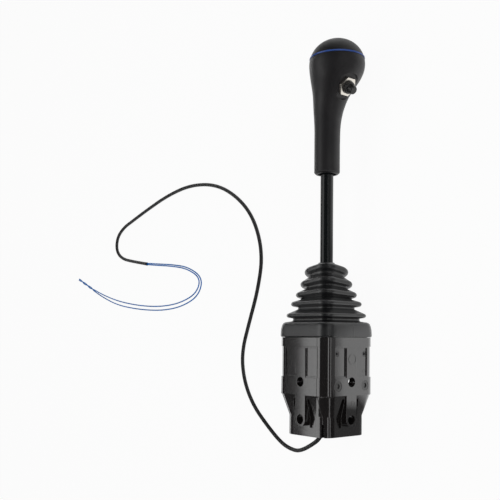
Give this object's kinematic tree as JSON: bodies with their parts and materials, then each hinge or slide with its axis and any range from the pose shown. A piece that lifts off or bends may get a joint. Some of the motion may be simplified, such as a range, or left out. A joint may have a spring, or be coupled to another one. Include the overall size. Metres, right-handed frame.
{
  "type": "mechanical cable joystick",
  "caption": "Two-axis lever in a square moulded housing with a bellows, push-button knob and ports for push-pull cables.",
  "frame": {"origin": "midway between the two bolt holes of the mounting face, on that face", "axes": "+X along the lever towards the knob, +Z away from the mounting face, -Y the side of the lid and of the push button"},
  "size_m": [0.3918, 0.5881, 0.066],
  "materials": {
    "housing_nylon": "moulded black nylon, semi-gloss",
    "black_screw": "black oxide",
    "cast_bracket": "as cast",
    "zinc_steel": "zinc plated",
    "bronze": "turned",
    "bearing_plastic": "natural acetal",
    "boot_rubber": "matte black rubber",
    "black_rod": "glossy black",
    "knob_plastic": "fine matte charcoal",
    "blue_ring": "deep blue",
    "nickel_nut": "nickel plated",
    "switch_black": "black",
    "braided_sleeve": "fine black braid",
    "blue_insulation": "medium blue"
  },
  "bodies": {
    "housing": {"housing_body": "housing_nylon", "housing_cover": "housing_nylon", "cover_screws_lower": "black_screw", "cover_screws_upper": "black_screw", "pivot_bracket": "cast_bracket", "bracket_screws": "zinc_steel", "bracket_bushes": "bronze", "slider_bushes_lower": "bearing_plastic", "slider_bushes_upper": "bearing_plastic", "boot": "boot_rubber", "lead_grommet": "boot_rubber", "lead_sheath": "braided_sleeve", "lead_wire_inner": "blue_insulation", "lead_wire_outer": "blue_insulation"},
    "gimbal": {"gimbal_block": "zinc_steel", "gimbal_pins": "zinc_steel", "ball_pin": "zinc_steel", "ball_pin_clip": "zinc_steel"},
    "lever": {"lever_hub": "zinc_steel", "hub_bushes": "bronze", "ball_stud": "zinc_steel", "lever_rod": "black_rod", "lever_lock_nut": "zinc_steel", "knob_body": "knob_plastic", "knob_insert": "bronze", "knob_ring": "blue_ring", "knob_cap": "knob_plastic", "switch_bushing": "switch_black", "switch_nut": "nickel_nut", "switch_case": "switch_black", "switch_terminals": "bronze", "button_spring": "zinc_steel"},
    "button": {"button": "switch_black"},
    "slider_left": {"cable_slider_left": "zinc_steel"},
    "slider_far": {"cable_slider_far": "zinc_steel"}
  },
  "joints": [
    {"name": "gimbal_tilt", "type": "hinge", "parent": "housing", "child": "gimbal", "pos_m": [0.0453, 0, 0.033], "axis": [0, 0.7071, -0.7071], "range_deg": [-15, 15], "deforming": ["boot"]},
    {"name": "lever_tilt", "type": "hinge", "parent": "gimbal", "child": "lever", "pos_m": [0.0453, 0, 0.033], "axis": [0, -0.7071, -0.7071], "range_deg": [-15, 15], "deforming": ["boot"]},
    {"name": "slide_left", "type": "slide", "parent": "housing", "child": "slider_left", "axis": [1, 0, 0], "range_m": [-0.0058, 0.0058]},
    {"name": "slide_far", "type": "slide", "parent": "housing", "child": "slider_far", "axis": [1, 0, 0], "range_m": [-0.0058, 0.0058]},
    {"name": "button_press", "type": "slide", "parent": "lever", "child": "button", "axis": [0.5736, 0.8192, 0], "range_m": [0, 0.0025], "stiffness_N_per_m": 400, "deforming": ["button_spring"]}
  ],
  "couplings": [
    {"joint": "slide_left", "follows": "gimbal_tilt", "m_per_rad": 0.02167},
    {"joint": "slide_far", "follows": "lever_tilt", "m_per_rad": 0.02167}
  ]
}
